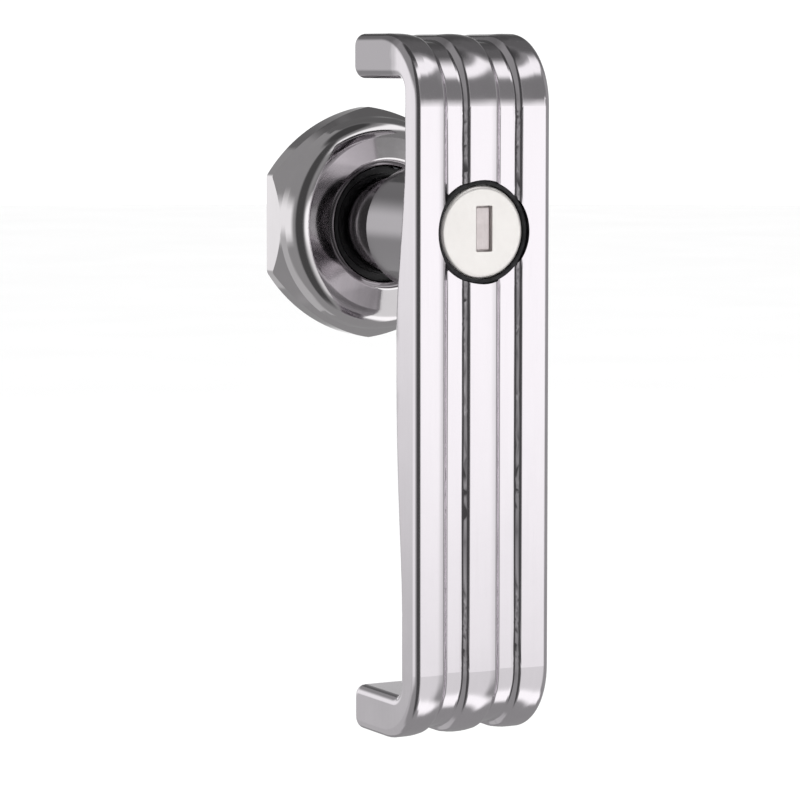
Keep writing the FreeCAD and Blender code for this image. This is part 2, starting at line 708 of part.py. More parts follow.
def make_key_plug():
    """The plug that the key turns: front flange, wafer slots, keyway, shutter pocket and square tail."""
    plug = disc(PLUG_RADIUS, BARREL_LOW + BARREL_REAR_WALL + 0.05, PLUG_FLANGE_LOW + 0.1)
    flange = disc(PLUG_FLANGE_RADIUS, PLUG_FLANGE_LOW, CAP_LOW)
    journal = disc(JOURNAL_RADIUS, CAM_TOP, BARREL_LOW + BARREL_REAR_WALL + 0.1)
    half = CAM_SHAFT_SIDE / 2
    tail = block(-half, half, TAIL_LOW, CAM_TOP, -half, half)
    plug = plug.fuse([flange, journal, tail])
    pocket_ends = (FLAP_BOTTOM - 0.2, FLAP_TOP + 0.2)
    plug = plug.cut(block(HINGE_X - 0.9, FLAP_EDGE + 0.3, POCKET_LOW, CAP_LOW + 1, *pocket_ends))
    plug = plug.cut(key_opening(KEYWAY_WIDTH, KEYWAY_HEIGHT, KEYWAY_END, CAP_LOW))
    slot_side = WAFER_HALF_WIDTH + RUNNING_GAP
    for height in wafer_heights():
        top = height + WAFER_THICKNESS
        plug = plug.cut(block(-slot_side, slot_side, height - RUNNING_GAP, top + RUNNING_GAP, -7, 7))
        start = Vector(WAFER_SPRING_X, -height - WAFER_THICKNESS / 2, WAFER_SPRING_HOLE_LOW)
        plug = plug.cut(Part.makeCylinder(WAFER_SPRING_HOLE_RADIUS, WAFER_SPRING_HOLE_LENGTH, start, ALONG_Z))
    plug = plug.cut(disc(CAM_SCREW_RADIUS, TAIL_LOW - 1, CAM_SCREW_END + 0.1))
    plug = plug.cut(hinge_pin())
    return plug.removeSplitter()


def key_opening(width, height, low, high):
    """An upright opening for the key, a little off the turn axis."""
    x = KEY_SLOT_X
    z = KEY_SLOT_Z
    return block(x - width / 2, x + width / 2, low, high, z - height / 2, z + height / 2)


def hinge_pin():
    """The shutter's hinge pin, upright beside the key slot."""
    start = Vector(HINGE_X, -HINGE_HEIGHT, FLAP_BOTTOM - 0.7)
    return Part.makeCylinder(HINGE_PIN_RADIUS, FLAP_TOP - FLAP_BOTTOM + 1.3, start, ALONG_Z)


def make_plug_cap():
    """The round lock face with its upright key slot."""
    cap = disc(CAP_RADIUS, CAP_LOW, CAP_TOP)
    rim = [edge for edge in cap.Edges if edge.BoundBox.YMax < -CAP_TOP + 0.01]
    cap = cap.makeFillet(CAP_EDGE_RADIUS, rim)
    slot = key_opening(KEY_SLOT_WIDTH, KEY_SLOT_HEIGHT, CAP_LOW - 1, CAP_TOP + 1)
    upright = [edge for edge in slot.Edges if edge.BoundBox.YLength > 1]
    return cap.cut(slot.makeFillet(0.3, upright))


def make_shutter_flap():
    """The dust flap behind the key slot: two knuckles on the hinge pin and a raised panel that fills the slot."""
    flap = block(HINGE_X, FLAP_EDGE, HINGE_HEIGHT + 0.1, HINGE_HEIGHT + KNUCKLE_RADIUS, FLAP_BOTTOM, FLAP_TOP)
    spring_gap = (FLAP_BOTTOM + KNUCKLE_LENGTH, FLAP_TOP - KNUCKLE_LENGTH)
    flap = flap.cut(block(HINGE_X - 1, HINGE_X + 1.1, BARREL_LOW, CAP_TOP, *spring_gap))
    panel_width = KEY_SLOT_WIDTH - 2 * PANEL_GAP
    panel_height = KEY_SLOT_HEIGHT - 2 * PANEL_GAP
    panel = key_opening(panel_width, panel_height, HINGE_HEIGHT + 0.2, PANEL_FRONT)
    front_edges = [edge for edge in panel.Edges if edge.BoundBox.YMax < -PANEL_FRONT + 0.01]
    flap = flap.fuse(panel.makeFillet(PANEL_EDGE_RADIUS, front_edges))
    for low in (FLAP_BOTTOM, FLAP_TOP - KNUCKLE_LENGTH):
        knuckle = Part.makeCylinder(KNUCKLE_RADIUS, KNUCKLE_LENGTH, Vector(HINGE_X, -HINGE_HEIGHT, low), ALONG_Z)
        flap = flap.fuse(knuckle)
    bore_start = Vector(HINGE_X, -HINGE_HEIGHT, FLAP_BOTTOM - 1)
    bore = Part.makeCylinder(HINGE_PIN_RADIUS + RUNNING_GAP, FLAP_TOP - FLAP_BOTTOM + 2, bore_start, ALONG_Z)
    return flap.cut(bore).removeSplitter()


def make_shutter_spring():
    """The torsion spring between the flap's knuckles."""
    start = Vector(HINGE_X, -HINGE_HEIGHT, FLAP_BOTTOM + KNUCKLE_LENGTH + 0.4)
    return coil(SHUTTER_COIL_RADIUS, SHUTTER_WIRE_RADIUS, SHUTTER_COIL_PITCH, SHUTTER_COIL_LENGTH, start)


def wafer_relief(height):
    """The side notch of a wafer in which its spring sits."""
    inner = WAFER_SPRING_X - WAFER_SPRING_HOLE_RADIUS - 0.1
    low = WAFER_SPRING_HOLE_LOW - 0.1
    high = WAFER_SPRING_HOLE_LOW + WAFER_SPRING_HOLE_LENGTH - 0.1
    return block(inner, 5, height - 1, height + 2, low, high)


def make_wafers():
    """The wafers as a key holds them, flush with the plug."""
    wafers = []
    for height in wafer_heights():
        top = height + WAFER_THICKNESS
        wafer = block(-WAFER_HALF_WIDTH, WAFER_HALF_WIDTH, height, top, -WAFER_HALF_HEIGHT, WAFER_HALF_HEIGHT)
        wafer = wafer.common(disc(PLUG_RADIUS - RUNNING_GAP, height - 1, height + 2))
        window = (KEYWAY_WIDTH - WAFER_WINDOW_LESS, KEYWAY_HEIGHT - 1.0)
        wafer = wafer.cut(key_opening(*window, height - 1, height + 2))
        wafers.append(wafer.cut(wafer_relief(height)))
    return Part.makeCompound(wafers)


def make_wafer_springs():
    """A small compression spring beside each wafer."""
    springs = []
    for height in wafer_heights():
        start = Vector(WAFER_SPRING_X, -height - WAFER_THICKNESS / 2, WAFER_SPRING_HOLE_LOW + 0.3)
        springs.append(coil(WAFER_COIL_RADIUS, WAFER_WIRE_RADIUS, WAFER_COIL_PITCH, WAFER_COIL_LENGTH, start))
    return Part.makeCompound(springs)


def cam_groove():
    """The helical groove that moves the follower by the bolt's travel in a quarter turn of the key."""
    pitch = BOLT_TRAVEL * 360 / CAM_TURN
    length = BOLT_TRAVEL * (CAM_TURN + 2 * CAM_GROOVE_SPARE) / CAM_TURN
    helix = Part.makeHelix(pitch, length, CAM_RADIUS)
    half = FOLLOWER_RADIUS + CAM_GROOVE_GAP
    corners = [
        Vector(CAM_GROOVE_RADIUS, 0, -half),
        Vector(CAM_RADIUS + 1.5, 0, -half),
        Vector(CAM_RADIUS + 1.5, 0, half),
        Vector(CAM_GROOVE_RADIUS, 0, half),
    ]
    section = Part.makePolygon(corners + [corners[0]])
    cutter = Part.Wire(helix).makePipeShell([section], True, True)
    # the helix climbs along +Z, so it is laid along the turn axis and mirrored, and its high end is turned
    # back past the follower by the spare angle
    cutter.Placement = FreeCAD.Placement(Vector(0, 0, 0), FreeCAD.Rotation(ALONG_Z, OUTWARD))
    cutter = cutter.mirror(Vector(0, 0, 0), ALONG_Z)
    far_angle = CAM_TURN + CAM_GROOVE_SPARE
    cutter.rotate(Vector(0, 0, 0), ALONG_Y, -far_angle)
    cutter.translate(OUTWARD * (FOLLOWER_HEIGHT - BOLT_TRAVEL * far_angle / CAM_TURN))
    return cutter


def make_lock_cam():
    """The cam drum on the plug's tail."""
    cam = disc(CAM_RADIUS, CAM_LOW, CAM_TOP)
    half = CAM_SHAFT_SIDE / 2 + 0.02
    cam = cam.cut(block(-half, half, TAIL_LOW - 0.2, CAM_TOP + 1, -half, half))
    cam = cam.cut(disc(CAM_SCREW_HEAD_RADIUS + 0.2, CAM_LOW - 1, CAM_SCREW_SEAT))
    cam = cam.cut(disc(CAM_SCREW_RADIUS + 0.1, CAM_LOW - 1, CAM_TOP))
    return cam.cut(cam_groove())


def make_cam_screw():
    """The screw that holds the cam on the plug's tail."""
    head = disc(CAM_SCREW_HEAD_RADIUS, CAM_LOW + 0.1, CAM_SCREW_SEAT)
    screw = head.fuse(disc(CAM_SCREW_RADIUS, CAM_SCREW_SEAT, CAM_SCREW_END))
    return screw.cut(block(-0.3, 0.3, CAM_LOW, CAM_LOW + 0.8, -3, 3)).removeSplitter()


def make_locking_bolt():
    """The bolt that drops into the base floor when the key is turned."""
    bolt = disc(BOLT_RADIUS, BOLT_LOW, BOLT_TOP, BOLT_OFFSET)
    ends = [edge for edge in bolt.Edges if edge.BoundBox.YLength < 0.01 and edge.BoundBox.YMin > -BOLT_LOW - 0.01]
    return bolt.makeChamfer(0.3, ends).cut(bolt_follower())


def bolt_follower():
    """The cross pin of the bolt that runs in the cam's groove."""
    start = Vector(CAM_GROOVE_RADIUS + 0.15, -FOLLOWER_HEIGHT, 0)
    return Part.makeCylinder(FOLLOWER_RADIUS, FOLLOWER_LENGTH, start, ALONG_X)


def make_parts():
    """Every node by name."""
    return {
        "base_plate": make_base_plate(),
        "rosette_cover": make_rosette_cover(),
        "bearing_bush": make_bearing_bush(),
        "collar_circlip": make_collar_circlip(),
        "detent_spring": make_detent_spring(),
        "thrust_washer": make_thrust_washer(),
        "fixing_screws": make_fixing_screws(),
        "grip": make_grip(),
        "detent_wheel": make_detent_wheel(),
        "spindle": make_spindle(),
        "cross_pin": cross_pin(),
        "lock_barrel": make_lock_barrel(),
        "barrel_pin": barrel_pin(),
        "lock_seal": make_lock_seal(),
        "key_plug": make_key_plug(),
        "plug_cap": make_plug_cap(),
        "shutter_pin": hinge_pin(),
        "wafers": make_wafers(),
        "wafer_springs": make_wafer_springs(),
        "lock_cam": make_lock_cam(),
        "cam_screw": make_cam_screw(),
        "shutter_flap": make_shutter_flap(),
        "shutter_spring": make_shutter_spring(),
        "locking_bolt": make_locking_bolt(),
        "bolt_follower": bolt_follower(),
    }


def main():
    os.makedirs("parts", exist_ok=True)
    for name, shape in make_parts().items():
        shape.exportStep("parts/" + name + ".step")


main()
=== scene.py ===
"""Looks for the lockable tilt turn handle: finishes, threaded fixing screws, floor, studio and camera."""

import math

import bmesh
import bpy
from mathutils import Matrix, Vector


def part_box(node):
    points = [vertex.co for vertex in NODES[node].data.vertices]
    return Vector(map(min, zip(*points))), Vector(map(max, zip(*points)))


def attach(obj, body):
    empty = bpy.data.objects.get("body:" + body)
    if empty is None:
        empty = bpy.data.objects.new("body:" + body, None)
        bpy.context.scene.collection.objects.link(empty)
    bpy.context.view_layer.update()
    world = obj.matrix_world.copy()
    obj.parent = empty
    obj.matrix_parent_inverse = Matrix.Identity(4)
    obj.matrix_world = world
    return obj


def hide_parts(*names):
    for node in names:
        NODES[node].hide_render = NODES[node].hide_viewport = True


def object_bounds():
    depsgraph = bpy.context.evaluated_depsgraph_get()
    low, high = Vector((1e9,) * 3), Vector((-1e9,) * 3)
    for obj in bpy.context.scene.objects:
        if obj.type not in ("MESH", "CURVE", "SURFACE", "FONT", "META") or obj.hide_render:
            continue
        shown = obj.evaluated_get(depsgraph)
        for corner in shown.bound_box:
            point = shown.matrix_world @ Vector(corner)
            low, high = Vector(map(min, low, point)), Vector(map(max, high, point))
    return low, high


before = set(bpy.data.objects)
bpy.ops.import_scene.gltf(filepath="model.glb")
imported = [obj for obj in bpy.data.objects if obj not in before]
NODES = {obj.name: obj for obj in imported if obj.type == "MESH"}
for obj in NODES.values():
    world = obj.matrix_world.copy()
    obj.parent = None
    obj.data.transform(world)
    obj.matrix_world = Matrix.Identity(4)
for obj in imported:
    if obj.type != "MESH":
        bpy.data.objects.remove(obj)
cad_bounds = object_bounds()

MM = 0.001


# ---------------------------------------------------------------- node helpers


class Nodes:
    """Makes and links the nodes of one shader tree."""

    def __init__(self, tree):
        self.tree = tree

    def node(self, kind, **settings):
        made = self.tree.nodes.new(kind)
        for key, value in settings.items():
            setattr(made, key, value)
        return made

    def link(self, source, target):
        self.tree.links.new(source, target)

    def calculate(self, operation, *values):
        """The result of one operation. Each value is a number or the output of another node."""
        made = self.node("ShaderNodeMath", operation=operation)
        for socket, value in zip(made.inputs, values):
            if isinstance(value, (int, float)):
                socket.default_value = value
            else:
                self.link(value, socket)
        return made.outputs[0]

    def mix(self, first, share, second):
        """The first value by its share, and the second by the rest."""
        first_part = self.calculate("MULTIPLY", first, share)
        second_part = self.calculate("MULTIPLY", second, 1 - share)
        return self.calculate("ADD", first_part, second_part)

    def spread(self, source, low, high, to_low=0.0, to_high=1.0):
        """A value from one range mapped softly to another."""
        made = self.node("ShaderNodeMapRange", interpolation_type="SMOOTHSTEP")
        limits = {"From Min": low, "From Max": high, "To Min": to_low, "To Max": to_high}
        for socket, value in limits.items():
            made.inputs[socket].default_value = value
        self.link(source, made.inputs["Value"])
        return made.outputs["Result"]

    def band(self, source, low, high, soft):
        """One between two values and nought outside them, with soft edges."""
        past_low = self.spread(source, low - soft, low + soft)
        before_high = self.spread(source, high - soft, high + soft, 1.0, 0.0)
        return self.calculate("MULTIPLY", past_low, before_high)


class Finish(Nodes):
    """A node-based material in which texture positions are millimetres of the object's frame."""

    def __init__(self, name, **sockets):
        self.material = bpy.data.materials.new(name)
        self.material.use_nodes = True
        super().__init__(self.material.node_tree)
        self.shader = self.tree.nodes["Principled BSDF"]
        for socket, value in sockets.items():
            self.shader.inputs[socket.replace("_", " ")].default_value = value
        coordinates = self.node("ShaderNodeTexCoord")
        scale = self.node("ShaderNodeVectorMath", operation="SCALE")
        scale.inputs["Scale"].default_value = 1 / MM
        self.link(coordinates.outputs["Object"], scale.inputs[0])
        self.place = scale.outputs[0]
        self.normal = None

    def along(self, axis):
        """The position along one axis of the object's frame."""
        parts = self.node("ShaderNodeSeparateXYZ")
        self.link(self.place, parts.inputs[0])
        return parts.outputs[axis]

    def stretched(self, factors):
        """The position with each axis multiplied by a factor."""
        mapping = self.node("ShaderNodeMapping", vector_type="POINT")
        mapping.inputs["Scale"].default_value = factors
        self.link(self.place, mapping.inputs["Vector"])
        return mapping.outputs["Vector"]

    def noise(self, scale, detail=3, roughness=0.5, place=None):
        """Noise with so many features per millimetre."""
        made = self.node("ShaderNodeTexNoise")
        made.inputs["Scale"].default_value = scale
        made.inputs["Detail"].default_value = detail
        made.inputs["Roughness"].default_value = roughness
        self.link(place or self.place, made.inputs["Vector"])
        return made.outputs["Fac"]

    def cells(self, scale):
        """Distance to the nearest of scattered points."""
        made = self.node("ShaderNodeTexVoronoi")
        made.inputs["Scale"].default_value = scale
        self.link(self.place, made.inputs["Vector"])
        return made.outputs["Distance"]

    def colours(self, source, stops):
        """The base colour, from a value through a colour ramp."""
        ramp = self.node("ShaderNodeValToRGB")
        elements = ramp.color_ramp.elements
        while len(elements) < len(stops):
            elements.new(0.5)
        for element, (position, colour) in zip(elements, stops):
            element.position = position
            element.color = (*colour, 1)
        self.link(source, ramp.inputs["Fac"])
        self.link(ramp.outputs["Color"], self.shader.inputs["Base Color"])

    def roughness(self, *sources):
        """The roughness, as the sum of one or two values."""
        total = sources[0]
        for source in sources[1:]:
            total = self.calculate("ADD", total, source)
        self.link(total, self.shader.inputs["Roughness"])

    def bump(self, source, height_mm):
        """Adds relief of a real height."""
        made = self.node("ShaderNodeBump")
        made.inputs["Distance"].default_value = height_mm * MM
        self.link(source, made.inputs["Height"])
        if self.normal is not None:
            self.link(self.normal, made.inputs["Normal"])
        self.normal = made.outputs["Normal"]
        self.link(self.normal, self.shader.inputs["Normal"])


# ---------------------------------------------------------------- finishes

# Round the boss and behind the top end of the grip the base colour is greyer. Why it would be is a guess. It
# sets in over these ranges of Y and Z, in millimetres.
GREY_BEHIND = (-44.5, -38.5)
GREY_ABOVE = (-66.0, -18.0)
GREY_TINT = 0.5  # its colour, as a part of the bright one
GREY_SHIFT = 0.6  # how far its shade moves towards the grey end of the colour ramp


def greyed_zone(f):
    """One where the grip's colour is greyer and nought elsewhere."""
    behind = f.spread(f.along("Y"), *GREY_BEHIND)
    above = f.spread(f.along("Z"), *GREY_ABOVE)
    return f.calculate("MULTIPLY", behind, above)


def chrome(name, tint, rough_low, rough_high, grey_behind=False):
    """Bright plating on polished zinc: faint clouds, polishing lines along the grip and a few fine pits."""
    f = Finish(name, Metallic=1.0)
    cloud = f.noise(0.07, 4, 0.6)
    smear = f.noise(1.0, 3, 0.6, f.stretched((0.9, 0.9, 0.05)))
    lines = f.noise(1.0, 4, 0.7, f.stretched((7.0, 7.0, 0.12)))
    shade = f.mix(cloud, 0.7, smear)
    stops = [(0.35, tuple(0.955 * c for c in tint)), (0.6, tint)]
    if grey_behind:
        shade = f.calculate("SUBTRACT", shade, f.calculate("MULTIPLY", greyed_zone(f), GREY_SHIFT))
        stops.insert(0, (0.0, tuple(GREY_TINT * c for c in tint)))
    f.colours(shade, stops)
    plating = f.spread(cloud, 0.3, 0.7, rough_low, rough_high)
    f.roughness(plating, f.spread(lines, 0.45, 0.8, 0.0, 0.035))
    f.bump(f.noise(0.55, 2, 0.5), 0.0022)
    f.bump(lines, 0.00035)
    f.bump(f.spread(f.cells(0.35), 0.0, 0.09), 0.0015)
    return f.material


def satin_chrome():
    """Matt plating of the lock face, with the concentric lines of its turning."""
    f = Finish("satin_chrome", Metallic=0.82)
    rings = f.node("ShaderNodeTexWave", wave_type="RINGS", rings_direction="Y", wave_profile="SIN")
    rings.inputs["Scale"].default_value = 0.9
    rings.inputs["Distortion"].default_value = 0.6
    rings.inputs["Detail"].default_value = 3
    rings.inputs["Detail Scale"].default_value = 0.4
    f.link(f.stretched((1, 0, 1)), rings.inputs["Vector"])
    turning = rings.outputs["Fac"]
    grain = f.noise(3.5, 4, 0.65)
    cloud = f.noise(0.16, 3, 0.5)
    f.colours(cloud, [(0.3, (0.92, 0.89, 0.865)), (0.7, (0.97, 0.94, 0.915))])
    f.roughness(f.spread(grain, 0.3, 0.7, 0.30, 0.38), f.calculate("MULTIPLY", turning, 0.04))
    f.bump(turning, 0.0012)
    f.bump(grain, 0.002)
    return f.material


def cast_zinc(name, light, dark, rough):
    """Bare die-cast zinc: fine grain, flow marks and grey patches."""
    f = Finish(name, Metallic=1.0)
    patches = f.noise(0.22, 5, 0.6)
    flow = f.noise(1.0, 4, 0.6, f.stretched((0.25, 0.9, 0.5)))
    grain = f.noise(6.0, 3, 0.6)
    f.colours(f.mix(patches, 0.6, flow), [(0.38, dark), (0.62, light)])
    skin = f.spread(patches, 0.3, 0.7, rough, rough + 0.12)
    f.roughness(skin, f.spread(grain, 0.4, 0.7, 0.0, 0.06))
    f.bump(flow, 0.01)
    f.bump(grain, 0.006)
    return f.material


def plated_steel():
    """Zinc-plated drawn steel: bluish, with draw lines along the spindle and a spangle of small patches."""
    f = Finish("plated_steel", Metallic=1.0)
    spangle = f.noise(0.5, 4, 0.6)
    draw = f.noise(1.0, 4, 0.7, f.stretched((6.0, 0.1, 6.0)))
    f.colours(spangle, [(0.32, (0.50, 0.53, 0.58)), (0.5, (0.62, 0.65, 0.70)), (0.68, (0.70, 0.70, 0.68))])
    f.roughness(f.spread(spangle, 0.3, 0.7, 0.24, 0.36), f.spread(draw, 0.4, 0.7, 0.0, 0.08))
    f.bump(draw, 0.004)
    f.bump(f.noise(5.0, 2, 0.5), 0.003)
    return f.material


def steel(name, light, dark, rough, stretch, metallic=1.0):
    """Rolled or ground steel with lines in one direction."""
    f = Finish(name, Metallic=metallic)
    lines = f.noise(1.0, 4, 0.7, f.stretched(stretch))
    stain = f.noise(0.6, 4, 0.6)
    f.colours(f.mix(lines, 0.5, stain), [(0.38, dark), (0.62, light)])
    f.roughness(f.spread(lines, 0.3, 0.75, rough, rough + 0.14))
    f.bump(lines, 0.003)
    return f.material


def brass():
    """Turned and broached brass, a little tarnished."""
    f = Finish("lock_brass", Metallic=1.0)
    tarnish = f.noise(0.5, 5, 0.65)
    turning = f.noise(1.0, 3, 0.7, f.stretched((0.4, 9.0, 0.4)))
    f.colours(tarnish, [(0.32, (0.46, 0.31, 0.13)), (0.55, (0.72, 0.53, 0.25)), (0.75, (0.80, 0.63, 0.34))])
    f.roughness(f.spread(tarnish, 0.3, 0.7, 0.26, 0.42))
    f.bump(turning, 0.004)
    return f.material


def rubber():
    """Moulded black rubber with a dull bloom."""
    f = Finish("black_rubber", Specular_IOR_Level=0.4)
    bloom = f.noise(0.9, 5, 0.65)
    grain = f.noise(9.0, 3, 0.6)
    f.colours(bloom, [(0.35, (0.006, 0.006, 0.007)), (0.7, (0.02, 0.02, 0.022))])
    f.roughness(f.spread(grain, 0.3, 0.7, 0.42, 0.62))
    f.bump(grain, 0.01)
    return f.material


def acetal():
    """Black moulded acetal with a soft sheen."""
    f = Finish("bush_plastic")
    cloud = f.noise(0.3, 4, 0.6)
    grain = f.noise(4.0, 3, 0.6)
    f.colours(cloud, [(0.3, (0.012, 0.012, 0.013)), (0.7, (0.03, 0.03, 0.032))])
    f.roughness(f.spread(grain, 0.3, 0.7, 0.34, 0.46))
    f.bump(grain, 0.004)
    return f.material


# One finish for each material slot of the CAD nodes
FINISHES = {
    "chrome_grip": chrome("chrome_grip", (0.80, 0.763, 0.80), 0.085, 0.15, grey_behind=True),
    "chrome_cover": chrome("chrome_cover", (0.80, 0.772, 0.79), 0.06, 0.11),
    "satin_chrome": satin_chrome(),
    "black_rubber": rubber(),
    "shutter_steel": steel(
        "shutter_steel", (0.74, 0.68, 0.68), (0.62, 0.56, 0.56), 0.34, stretch=(8.0, 8.0, 0.2), metallic=0.6
    ),
    "zinc": cast_zinc("cast_zinc", (0.56, 0.57, 0.59), (0.40, 0.41, 0.43), 0.36),
    "lock_zinc": cast_zinc("lock_zinc", (0.60, 0.59, 0.58), (0.45, 0.45, 0.45), 0.30),
    "lock_brass": brass(),
    "zinc_steel": plated_steel(),
    "spring_steel": steel(
        "spring_steel", (0.15, 0.15, 0.16), (0.07, 0.07, 0.08), 0.26, stretch=(0.3, 6.0, 0.3)
    ),
    "bush_plastic": acetal(),
}


def finish_nodes():
    """Gives each CAD node the finish of its material slot."""
    for node in NODES.values():
        for slot in node.material_slots:
            slot.material = FINISHES[slot.material.name.split(".")[0]]


# ---------------------------------------------------------------- threaded screws

# The fixing screws in millimetres, filling the box of the CAD's plain ones. Each has its axis along Y, its
# head in front and its point behind. The thread starts behind the mounting face, y = 0.
SCREWS_LOW, SCREWS_HIGH = (Vector(corner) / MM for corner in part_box("fixing_screws"))
HEAD_FRONT = SCREWS_LOW.y
HEAD_RADIUS = (SCREWS_HIGH.x - SCREWS_LOW.x) / 2
HEAD_ROUND = 0.15  # width of the rounded rim of the head
RIM_ROUND = 0.12  # its depth, and the size of the bevel between the countersink and the neck
HEAD_FACE_RADIUS = 2.6  # a ring on the flat of the head, round the recess
NECK_RADIUS = 1.75
NECK_BEVEL = 0.1
SCREW_LEVELS = (SCREWS_LOW.z + HEAD_RADIUS, SCREWS_HIGH.z - HEAD_RADIUS)

CROSS_REACH = 1.9
CROSS_HALF = 0.36  # half the width of an arm
CROSS_FLOOR = -1.3
CROSS_TAPER = 0.7  # size of the recess's floor, as a part of its mouth
CROSS_EDGE = 0.08  # depth of the mouth's bevel
CROSS_EDGE_SIZE = 0.96  # size at the bottom of that bevel
POINTS_PER_SIDE = 4

THREAD_CREST = 2.0
THREAD_ROOT = 1.55
THREAD_PITCH = 0.7
THREAD_FROM = 0.3
THREAD_TO = 14.0
CREST_END = 0.0875  # where the flat crest ends and the root starts, in pitches from the crest's middle
ROOT_START = 0.3375
RUN_OUT_FRONT = 0.5  # length in which the thread grows to its full depth, at its front and at the point
RUN_OUT_POINT = 1.2
ROWS_PER_TURN = 12
POINT_END = SCREWS_HIGH.y
POINT_RADIUS = 0.9
TIP_RADIUS = 0.45

SHARP_ANGLE = math.radians(35)


def cross_outline():
    """The recess's outline as (x, z), in order round the axis, with points along each side of the cross."""
    corners = []
    for quarter in range(4):
        angle = quarter * math.pi / 2
        c, s = round(math.cos(angle)), round(math.sin(angle))
        for x, z in ((CROSS_REACH, -CROSS_HALF), (CROSS_REACH, CROSS_HALF), (CROSS_HALF, CROSS_HALF)):
            corners.append(Vector((c * x - s * z, s * x + c * z)))
    outline = []
    for start, end in zip(corners, corners[1:] + corners[:1]):
        outline += [start.lerp(end, step / POINTS_PER_SIDE) for step in range(POINTS_PER_SIDE)]
    return outline


def thread_radius(y, turn):
    """The thread's radius at a place along and round the screw, with a flat crest and sloping flanks."""
    off_crest = abs((y / THREAD_PITCH - turn) % 1.0 - 0.5)
    flank = min(1.0, max(0.0, (ROOT_START - off_crest) / (ROOT_START - CREST_END)))
    growing = (y - THREAD_FROM) / RUN_OUT_FRONT
    fading = (POINT_END - y) / RUN_OUT_POINT
    run_out = max(0.0, min(1.0, growing, fading))
    crest = THREAD_CREST
    if y > THREAD_TO:
        crest += (POINT_RADIUS - THREAD_CREST) * (y - THREAD_TO) / (POINT_END - THREAD_TO)
    root = min(THREAD_ROOT, crest)
    return root + (crest - root) * flank * run_out


def screw_rings():
    """Rings of points from the recess's floor over the head and down the thread to the point."""
    outline = cross_outline()
    bearings = [math.atan2(p.y, p.x) for p in outline]

    def cross(size, y):
        return [Vector((size * p.x, y, size * p.y)) for p in outline]

    def circle(radius, y):
        return [Vector((radius * math.cos(b), y, radius * math.sin(b))) for b in bearings]

    neck_start = HEAD_FRONT + HEAD_RADIUS - NECK_RADIUS  # the countersink is at 45 degrees
    rings = [
        cross(CROSS_TAPER, CROSS_FLOOR),
        cross(CROSS_EDGE_SIZE, HEAD_FRONT + CROSS_EDGE),
        cross(1.0, HEAD_FRONT),
        circle(HEAD_FACE_RADIUS, HEAD_FRONT),
        circle(HEAD_RADIUS - HEAD_ROUND, HEAD_FRONT),
        circle(HEAD_RADIUS, HEAD_FRONT + RIM_ROUND),
        circle(NECK_RADIUS + RIM_ROUND, neck_start - RIM_ROUND),
        circle(NECK_RADIUS, neck_start + NECK_BEVEL),
        circle(NECK_RADIUS, THREAD_FROM - NECK_BEVEL),
        circle(THREAD_ROOT, THREAD_FROM),
    ]
    step = THREAD_PITCH / ROWS_PER_TURN
    for row in range(1, int((POINT_END - THREAD_FROM) / step)):
        y = THREAD_FROM + row * step
        radii = [thread_radius(y, b / (2 * math.pi)) for b in bearings]
        rings.append([Vector((r * math.cos(b), y, r * math.sin(b))) for b, r in zip(bearings, radii)])
    rings.append(circle(TIP_RADIUS, POINT_END))
    return rings


def make_fixing_screws():
    """Two threaded countersunk screws in place of the CAD's plain ones."""
    made = bmesh.new()
    rings = screw_rings()
    for z in SCREW_LEVELS:
        rows = [[made.verts.new((p + Vector((0, 0, z))) * MM) for p in ring] for ring in rings]
        for row, following in zip(rows, rows[1:]):
            for k in range(len(row)):
                n = (k + 1) % len(row)
                made.faces.new((row[k], row[n], following[n], following[k]))
        for row in (rows[0], rows[-1]):
            middle = made.verts.new((0, row[0].co.y, z * MM))
            for k in range(len(row)):
                made.faces.new((row[k], middle, row[(k + 1) % len(row)]))
    bmesh.ops.recalc_face_normals(made, faces=made.faces)
    mesh = bpy.data.meshes.new("threaded_fixing_screws")
    made.to_mesh(mesh)
    made.free()
    for face in mesh.polygons:
        face.use_smooth = True
    mesh.set_sharp_from_angle(angle=SHARP_ANGLE)
    mesh.materials.append(FINISHES["zinc_steel"])
    screws = bpy.data.objects.new("threaded_fixing_screws", mesh)
    bpy.context.scene.collection.objects.link(screws)
    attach(screws, "base")
    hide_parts("fixing_screws")


# ---------------------------------------------------------------- stage

SURROUND = 1.12  # level of the white surround, which the camera and soft light see

# Soft boxes and flags round the object: azimuth from and to, elevation from and to, softness of the edges
# across and up, all in degrees, and the light level. Azimuth 0 is the front and 90 the right. The first row
# is the level everywhere, and later rows lie over earlier ones.
STUDIO = (
    (-200, 200, -100, 100, 1, 1, 0.30),
    (-172, -80, -14, 16, 12, 8, 1.00),
    (-200, -122, -60, -7, 8, 6, 0.50),
    (-61, -20, -70, 75, 7, 12, 0.07),
    (-12, 50, -45, 6, 8, 5, 0.80),
    (-12, 50, -9, 6, 8, 5, 1.24),
    (4, 74, -62, -44, 8, 5, 1.25),
    (-6, 60, 8, 39, 8, 4, 0.22),
    (-14, 84, 43, 60, 8, 4, 1.15),
    (66, 132, -30, 30, 10, 8, 0.34),
    (140, 200, -14, 8, 8, 6, 1.10),
    (95, 200, 20, 70, 10, 8, 0.13),
    (-200, 200, 70, 100, 1, 6, 0.06),
)

# Lengths of the stage are in metres
FLOOR_BELOW = 0.22  # under the lowest point of the handle
FLOOR_RADIUS = 8.0

KEY_PLACE = Vector((0.7, -1.0, 1.1))
KEY_AIM = Vector((0, 0, -0.02))
KEY_SIZE = (0.9, 0.7)
KEY_WATTS = 9

VIEW_AZIMUTH = -28  # degrees, where minus is left of the front
VIEW_ELEVATION = 5.4
VIEW_DISTANCE = 0.6691  # from the lock face
VIEW_LEFT = 0.01532  # moves the camera sideways and down without turning it
VIEW_DOWN = 0.03121
VIEW_CLIP = (0.01, 50)
LENS_MM = 162
SENSOR_MM = 36


